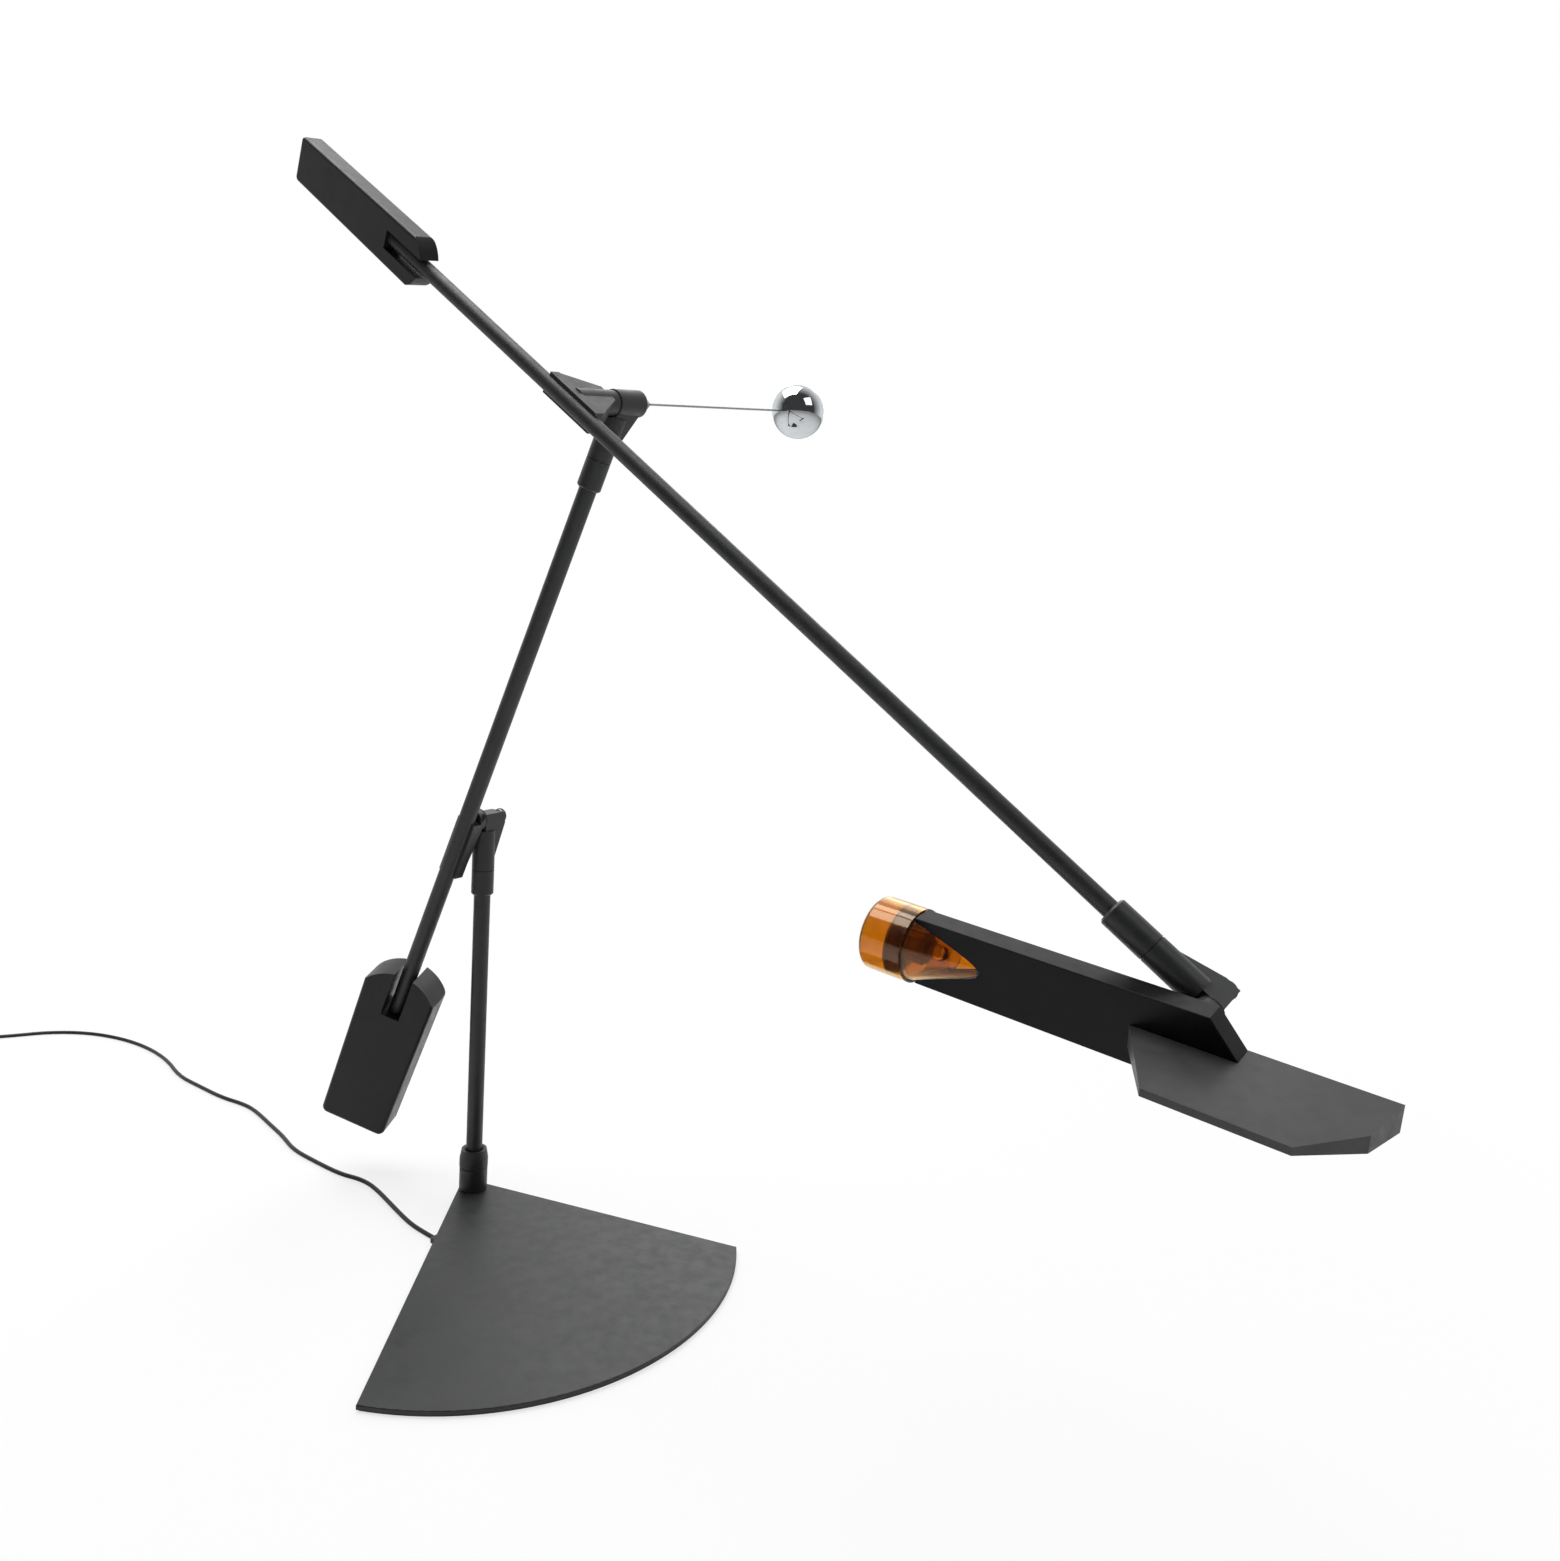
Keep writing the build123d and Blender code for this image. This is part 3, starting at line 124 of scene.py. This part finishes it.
class Graph(Nodes):
    """A material's node tree: a Principled shader, and patterns sized in millimetres."""

    def __init__(self, name: str) -> None:
        """Start a material with a Principled shader and an output.

        Args:
            name: The material's name.
        """
        self.material = bpy.data.materials.new(name)
        self.material.use_nodes = True
        super().__init__(self.material.node_tree)
        self.shader = self.add("ShaderNodeBsdfPrincipled")
        self.output = self.add("ShaderNodeOutputMaterial", Surface=self.shader.outputs[0])
        self.place = self.add("ShaderNodeTexCoord").outputs["Object"]

    def set(self, **sockets: object) -> None:
        """Fill the shader's own inputs.

        Args:
            sockets: What fills each input, by its name with _ for a space.
        """
        for key, value in sockets.items():
            self.feed(self.shader.inputs[key.replace("_", " ")], value)

    def drift(
        self, size_mm: float, low: float, high: float, detail: float = 2.0
    ) -> bpy.types.NodeSocket:
        """Make a value that drifts over the surface.

        Args:
            size_mm: About how large its patches are.
            low: The value in the low patches.
            high: The value in the high patches.
            detail: How many finer layers it has.

        Returns:
            The value's output socket.
        """
        scale = 1 / (size_mm * MM)
        noise = self.add("ShaderNodeTexNoise", Vector=self.place, Scale=scale, Detail=detail)
        spread = self.add(
            "ShaderNodeMapRange",
            Value=noise.outputs[0],
            From_Min=NOISE_LOW,
            From_Max=NOISE_HIGH,
            To_Min=low,
            To_Max=high,
        )
        return spread.outputs[0]

    def tones(
        self, first: str, second: str, size_mm: float, detail: float = 2.0
    ) -> bpy.types.NodeSocket:
        """Make a colour that drifts between two hex colours.

        Args:
            first: The colour of the low patches.
            second: The colour of the high patches.
            size_mm: About how large the patches are.
            detail: How many finer layers they have.

        Returns:
            The colour's output socket.
        """
        share = self.drift(size_mm, 0.0, 1.0, detail)
        colours = {FIRST_COLOUR: linear(first), SECOND_COLOUR: linear(second)}
        mixed = self.add("ShaderNodeMix", {"data_type": "RGBA"}, colours, Factor=share)
        return mixed.outputs[MIXED_COLOUR]

    def relief(
        self, size_mm: float, depth_mm: float, strength: float, detail: float = 2.0
    ) -> None:
        """Give the surface a fine relief.

        Args:
            size_mm: About how large its bumps are.
            depth_mm: How deep they are.
            strength: How much of that depth is used.
            detail: How many finer layers they have.
        """
        scale = 1 / (size_mm * MM)
        height = self.add("ShaderNodeTexNoise", Vector=self.place, Scale=scale, Detail=detail)
        bump = self.add(
            "ShaderNodeBump", Height=height.outputs[0], Distance=depth_mm * MM, Strength=strength
        )
        self.set(Normal=bump.outputs[0])


@dataclass(frozen=True)
class PowderCoat:
    """Powder-coated steel: a satin skin with a faint orange peel that softens its highlights."""

    name: str
    colour: str
    worn: str
    roughness: float
    specular: float
    tone_mm: float = 38.0
    tone_detail: float = 3.0
    gloss_mm: float = 9.0
    smoother: float = 0.05
    rougher: float = 0.07
    # Real orange peel is about 0.5 mm across; it is drawn coarser so that it shows.
    peel_mm: float = 1.1
    peel_depth_mm: float = 0.03
    peel_strength: float = 0.08

    def build(self) -> bpy.types.Material:
        """Make the material.

        Returns:
            The new material.
        """
        low, high = self.roughness - self.smoother, self.roughness + self.rougher
        graph = Graph(self.name)
        graph.set(
            Base_Color=graph.tones(self.colour, self.worn, self.tone_mm, self.tone_detail),
            Roughness=graph.drift(self.gloss_mm, low, high),
            Metallic=0.0,
            IOR=RESIN_IOR,
            Specular_IOR_Level=self.specular,
        )
        graph.relief(self.peel_mm, self.peel_depth_mm, self.peel_strength)
        return graph.material


@dataclass(frozen=True)
class Metal:
    """Turned, rolled or plated metal: a clear gloss, broken by fine marks of the tool."""

    name: str
    colour: str
    shade: str
    roughness: float
    mark_mm: float = 0.6
    mark_depth_mm: float = 0.01
    mark_strength: float = 0.3
    mark_detail: float = 1.0
    tone_mm: float = 6.0
    gloss_mm: float = 3.0
    rougher_times: float = 1.4
    rougher_by: float = 0.01

    def build(self) -> bpy.types.Material:
        """Make the material.

        Returns:
            The new material.
        """
        high = self.roughness * self.rougher_times + self.rougher_by
        graph = Graph(self.name)
        graph.set(
            Base_Color=graph.tones(self.colour, self.shade, self.tone_mm),
            Roughness=graph.drift(self.gloss_mm, self.roughness, high),
            Metallic=1.0,
        )
        graph.relief(self.mark_mm, self.mark_depth_mm, self.mark_strength, self.mark_detail)
        return graph.material


@dataclass(frozen=True)
class Moulded:
    """Moulded rubber, nylon, cable sheath or ceramic: a fine grain and a low gloss."""

    name: str
    colour: str
    shade: str
    roughness: float
    tone_mm: float = 12.0
    gloss_mm: float = 2.5
    smoother: float = 0.05
    rougher: float = 0.06
    grain_mm: float = 0.8
    grain_depth_mm: float = 0.04
    grain_strength: float = 0.4

    def build(self) -> bpy.types.Material:
        """Make the material.

        Returns:
            The new material.
        """
        low, high = self.roughness - self.smoother, self.roughness + self.rougher
        graph = Graph(self.name)
        graph.set(
            Base_Color=graph.tones(self.colour, self.shade, self.tone_mm),
            Roughness=graph.drift(self.gloss_mm, low, high),
            IOR=RESIN_IOR,
        )
        graph.relief(self.grain_mm, self.grain_depth_mm, self.grain_strength)
        return graph.material


@dataclass(frozen=True)
class TintedGlass:
    """Cast glass that lets light through, with faint waves left by the mould."""

    name: str
    colour: str
    shade: str
    transmission: float
    roughness: float
    ior: float
    tone_mm: float = 14.0
    tone_detail: float = 3.0
    gloss_mm: float = 4.0
    rougher: float = 0.05
    wave_mm: float = 5.0
    wave_depth_mm: float = 0.1
    wave_strength: float = 0.3

    def build(self) -> bpy.types.Material:
        """Make the material.

        Returns:
            The new material.
        """
        graph = Graph(self.name)
        graph.set(
            Base_Color=graph.tones(self.colour, self.shade, self.tone_mm, self.tone_detail),
            Roughness=graph.drift(self.gloss_mm, self.roughness, self.roughness + self.rougher),
            IOR=self.ior,
            Transmission_Weight=self.transmission,
        )
        graph.relief(self.wave_mm, self.wave_depth_mm, self.wave_strength)
        return graph.material


class Finish(Enum):
    """The lamp's finishes: one for each material slot of the record, and two for single pieces."""

    POWDER_COAT = PowderCoat("powder_coated_steel", "#292a2a", "#2e2f2f", 0.42, 0.4)
    DARK_COAT = PowderCoat("dark_powder_coat", "#161615", "#1c1b1a", 0.36, 0.26)
    # The bar's coat is a darker copy of the dark coat: painted shade over the whole bar.
    SHADED_BAR_COAT = PowderCoat("shaded_bar_powder_coat", "#0b0b0c", "#111112", 0.34, 0.14)
    FIN_COAT = PowderCoat("fin_powder_coat", "#343534", "#3c3d3c", 0.45, 0.4)
    BRIGHT_STEEL = Metal("turned_steel", "#8c8e90", "#9c9ea0", 0.25)
    CHROME_PLATE = Metal("mirror_chrome", "#c4c8ca", "#ccd0d2", 0.03, 9.0, 0.002)
    PLUG_BRASS = Metal("rolled_brass", "#b28a3a", "#c29a4a", 0.3)
    NYLON_WASHER = Moulded("cut_nylon", "#141414", "#1a1a1a", 0.6)
    RUBBER_PAD = Moulded("moulded_rubber", "#161616", "#1e1e1e", 0.75)
    BLACK_CABLE = Moulded("extruded_pvc", "#101010", "#171717", 0.42)
    CERAMIC = Moulded("steatite_ceramic", "#8a6a3c", "#b08c58", 0.5)
    AMBER_GLASS = TintedGlass("amber_glass", "#d9a032", "#e2ae48", 1.0, 0.02, 1.49)
    DICHROIC_GLASS = TintedGlass("dichroic_glass", "#f2d8a8", "#fae6c4", 0.9, 0.12, 1.3)
    CLEAR_GLASS = TintedGlass("quartz_glass", "#eef2f4", "#f6f8fa", 0.95, 0.02, 1.46)

    @property
    def slot(self) -> str:
        """The finish's name in the style of the record's material slots."""
        return self.name.lower()


class Paint:
    """Keeps one material for each finish and puts it on pieces."""

    def __init__(self) -> None:
        """Build every material once."""
        self.made = {finish: finish.value.build() for finish in Finish}

    def on(self, piece: bpy.types.Object, finish: Finish) -> None:
        """Give a piece one finish in every slot.

        Args:
            piece: The piece to dress.
            finish: The finish it gets.
        """
        material = self.made[finish]
        if not piece.data.materials:
            piece.data.materials.append(material)
        for place in piece.material_slots:
            place.material = material


@dataclass
class CadNodes:
    """The pieces whose shapes come from the solids, dressed by the record's slots."""

    paint: Paint
    # The bar gets a darker copy of its slot's coat, as painted shade over the whole bar, and the
    # reflector is coated glass.
    own: dict[str, Finish] = field(default_factory=lambda: {
        "head_bar": Finish.SHADED_BAR_COAT,
        "reflector": Finish.DICHROIC_GLASS,
    })

    def dress(self) -> None:
        """Give every CAD node its own finish, or else its slot's."""
        finishes = {finish.slot: finish for finish in Finish}
        for part in frame["record"]["subparts"]:
            name = part["node"]
            finish = self.own.get(name, finishes[part["material_slot"]])
            self.paint.on(frame["nodes"][name], finish)
            LOG.info("dressed %s as %s", name, finish.slot)


@dataclass
class Cord:
    """The supply cord: a free run on the table and a tied coil, in mm unless a name says m."""

    paint: Paint
    diameter: float = 3.8
    length_m: float = 1.898
    # The last points of the free run rise a little, on to the coil.
    lifted_points: int = 2
    lift: float = 0.8
    outer_radius: float = 29.9
    pitch: float = 4.35
    layer_turns: int = 4
    tail: float = 35.0
    points_in_half_turn: int = 8
    curve_order: int = 3
    steps_along: int = 4
    steps_around: int = 4
    route: tuple[tuple[float, float], ...] = (
        (-10.0, -82.7), (-23.7, -72.8), (-37.5, -61.3), (-56.8, -39.6),
        (-86.3, -5.1), (-103.6, 7.7), (-124.6, 14.5), (-157.2, 36.0),
        (-184.0, 55.1), (-203.5, 79.6), (-225.6, 102.4), (-255.5, 133.6),
        (-273.3, 145.6), (-299.4, 156.8), (-333.7, 179.9), (-366.1, 201.8),
        (-397.0, 239.5), (-434.0, 270.0), (-474.0, 291.0), (-518.0, 302.0),
        (-561.0, 297.0), (-597.0, 276.0), (-628.0, 263.0), (-657.0, 263.0),
    )

    def floor_points(self) -> list[Vector]:
        """Place the free run's control points.

        Returns:
            The points, from the exit to the coil.
        """
        low = self.diameter / 2
        flat, lifted = self.route[:-self.lifted_points], self.route[-self.lifted_points:]
        points = [Vector((x, y, low)) for x, y in flat]
        return points + [Vector((x, y, low + self.lift)) for x, y in lifted]

    def coil_points(self) -> list[Vector]:
        """Place the coil's control points: half turns in, one that climbs, and half turns out.

        Returns:
            The points, from the end of the free run to the plug.
        """
        step_in = self.pitch / 2
        radii = [self.outer_radius - step * step_in for step in range(2 * self.layer_turns)]
        turns = [(radius, 0.0) for radius in radii] + [(radii[-1] - step_in, self.pitch)]
        turns += [(radius, 0.0) for radius in reversed(radii[1:])]
        ahead, inward = Vector((-1, 0, 0)), Vector((0, 1, 0))
        start = self.floor_points()[-1] + ahead * self.diameter
        points: list[Vector] = []
        side = 1
        for radius, rise in turns:
            middle = start + inward * radius * side
            for step in range(self.points_in_half_turn):
                part = (step + 0.5) / self.points_in_half_turn
                angle = math.pi * part
                spoke = ahead * math.sin(angle) - inward * math.cos(angle)
                points.append(middle + spoke * radius * side + Vector((0, 0, rise * part)))
            start = start + inward * 2 * radius * side + Vector((0, 0, rise))
            side = -side
        return points + [start + ahead * self.tail / 2, start + ahead * self.tail]

    def build(self) -> None:
        points = self.floor_points() + self.coil_points()
        curve = bpy.data.curves.new("supply_cord", "CURVE")
        curve.dimensions = "3D"
        curve.resolution_u = self.steps_along
        curve.bevel_depth = self.diameter / 2 * MM
        curve.bevel_resolution = self.steps_around
        curve.use_fill_caps = True
        spline = curve.splines.new("NURBS")
        spline.points.add(len(points) - 1)
        for place, point in zip(spline.points, points):
            place.co = (*(point * MM), 1.0)
        spline.order_u = self.curve_order
        spline.use_endpoint_u = True
        piece = bpy.data.objects.new("supply_cord", curve)
        bpy.context.scene.collection.objects.link(piece)
        self.paint.on(piece, Finish.BLACK_CABLE)
        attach(piece, "base")
        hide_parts("cord_run", "cord_coil")
        LOG.info("built supply_cord with %d control points", len(points))


@dataclass(frozen=True)
class SoftLight:
    """A square area light: its place and width in metres, and its power in watts."""

    name: str
    place: tuple[float, float, float]
    width: float
    power: float


@dataclass
class Studio:
    """The floor, the world, the lights and the camera, in metres and degrees."""

    background: str = "#ffffff"
    floor_colour: str = "#f4f4f4"
    floor_roughness: float = 0.9
    floor_size: float = 14.0
    # The floor lies just under the lamp, so that their faces never share a plane.
    floor_drop: float = 0.0001
    # Near the lamp the floor glows less to the camera, and so keeps the lamp's shadow.
    near_reach: float = 0.5
    far_reach: float = 1.2
    near_glow: float = 0.7
    # The world's share that lights the lamp softly; mirrors and glass see all of it.
    soft_share: float = 0.725
    # The world fades from this strength on the camera's side to 1 behind the lamp.
    dark_side: float = 0.06
    dark_until: float = -0.35
    bright_from: float = 0.45
    aim: tuple[float, float, float] = (0.2, -0.1, 0.4)
    lights: tuple[SoftLight, ...] = (
        SoftLight("key", (-0.6, 0.2, 2.6), 1.8, 50.0),
        SoftLight("fill", (1.6, -1.2, 2.0), 1.2, 8.0),
        SoftLight("back", (0.6, 2.2, 1.8), 2.0, 18.0),
    )
    eye: tuple[float, float, float] = (0.249706, -1.008234, 0.538845)
    pitch: float = 8.326
    roll: float = -3.871
    sensor_mm: float = 36.0
    focal_pixels: float = 1200.64
    picture_side: float = 1561.0

    def floor(self) -> None:
        """Lay a pale floor that stays white to the camera but keeps the lamp's shadow."""
        mesh = bmesh.new()
        bmesh.ops.create_grid(mesh, x_segments=1, y_segments=1, size=self.floor_size / 2)
        data = bpy.data.meshes.new("floor")
        mesh.to_mesh(data)
        mesh.free()
        piece = bpy.data.objects.new("floor", data)
        piece.location.z = -self.floor_drop
        bpy.context.scene.collection.objects.link(piece)
        graph = Graph("painted_floor")
        graph.set(Base_Color=linear(self.floor_colour), Roughness=self.floor_roughness)
        from_camera = graph.add("ShaderNodeLightPath").outputs["Is Camera Ray"]
        reach = graph.add("ShaderNodeVectorMath", {"operation": "LENGTH"}, Vector=graph.place)
        fade = graph.add(
            "ShaderNodeMapRange",
            Value=reach.outputs["Value"],
            From_Min=self.near_reach,
            From_Max=self.far_reach,
            To_Min=self.near_glow,
            To_Max=1.0,
        )
        sources = {0: from_camera, 1: fade.outputs[0]}
        share = graph.add("ShaderNodeMath", {"operation": "MULTIPLY"}, sources)
        glow = graph.add("ShaderNodeEmission", Color=linear(self.background), Strength=1.0)
        layers = {0: share.outputs[0], 1: graph.shader.outputs[0], 2: glow.outputs[0]}
        mixed = graph.add("ShaderNodeMixShader", None, layers)
        graph.feed(graph.output.inputs["Surface"], mixed.outputs[0])
        data.materials.append(graph.material)

    def world(self) -> None:
        """Set a world that is white to the camera, and darker on the camera's side for the lamp."""
        world = bpy.data.worlds.new("studio")
        world.use_nodes = True
        bpy.context.scene.world = world
        nodes = Nodes(world.node_tree)
        rays = nodes.add("ShaderNodeLightPath").outputs
        way = nodes.add("ShaderNodeTexCoord").outputs["Generated"]
        grade = nodes.add(
            "ShaderNodeMapRange",
            Value=nodes.add("ShaderNodeSeparateXYZ", Vector=way).outputs["Y"],
            From_Min=self.dark_until,
            From_Max=self.bright_from,
            To_Min=self.dark_side,
            To_Max=1.0,
        )
        seen_in_gloss = {0: rays["Is Glossy Ray"], 1: rays["Is Transmission Ray"]}
        sharp = nodes.add("ShaderNodeMath", {"operation": "ADD", "use_clamp": True}, seen_in_gloss)
        share = nodes.add(
            "ShaderNodeMapRange", Value=sharp.outputs[0], To_Min=self.soft_share, To_Max=1.0
        )
        factors = {0: grade.outputs[0], 1: share.outputs[0]}
        strength = nodes.add("ShaderNodeMath", {"operation": "MULTIPLY"}, factors)
        white = linear(self.background)
        graded = nodes.add("ShaderNodeBackground", Color=white, Strength=strength.outputs[0])
        plain = nodes.add("ShaderNodeBackground", Color=white, Strength=1.0)
        layers = {0: rays["Is Camera Ray"], 1: graded.outputs[0], 2: plain.outputs[0]}
        shown = nodes.add("ShaderNodeMixShader", None, layers)
        nodes.add("ShaderNodeOutputWorld", Surface=shown.outputs[0])

    def light(self) -> None:
        """Hang soft area lights that point at the lamp's middle."""
        for soft in self.lights:
            lamp = bpy.data.lights.new(soft.name, "AREA")
            lamp.size = soft.width
            lamp.energy = soft.power
            piece = bpy.data.objects.new(soft.name, lamp)
            piece.location = soft.place
            towards = Vector(self.aim) - Vector(soft.place)
            piece.rotation_euler = towards.to_track_quat("-Z", "Y").to_euler()
            bpy.context.scene.collection.objects.link(piece)

    def camera(self) -> None:
        """Stand the camera where the photograph was taken from."""
        pitch, roll = math.radians(self.pitch), math.radians(self.roll)
        forward = Vector((0, math.cos(pitch), -math.sin(pitch)))
        level = Vector((1, 0, 0))
        down = forward.cross(level)
        right = level * math.cos(roll) + down * math.sin(roll)
        under = down * math.cos(roll) - level * math.sin(roll)
        data = bpy.data.cameras.new("camera")
        data.sensor_width = self.sensor_mm
        data.lens = self.sensor_mm * self.focal_pixels / self.picture_side
        piece = bpy.data.objects.new("camera", data)
        turn = Matrix((right, -under, -forward)).transposed().to_4x4()
        piece.matrix_world = Matrix.Translation(Vector(self.eye)) @ turn
        bpy.context.scene.collection.objects.link(piece)
        bpy.context.scene.camera = piece

    def build(self) -> None:
        """Set up the whole studio."""
        self.camera()
        self.floor()
        self.world()
        self.light()
        bpy.context.scene.view_settings.view_transform = "Standard"


def main() -> None:
    """Set the studio up, lay the lamp's cord and dress its pieces."""
    logging.basicConfig(level=logging.INFO, format="%(name)s: %(message)s")
    Studio().build()
    paint = Paint()
    Cord(paint).build()
    CadNodes(paint).dress()


if __name__ == "__main__":
    main()
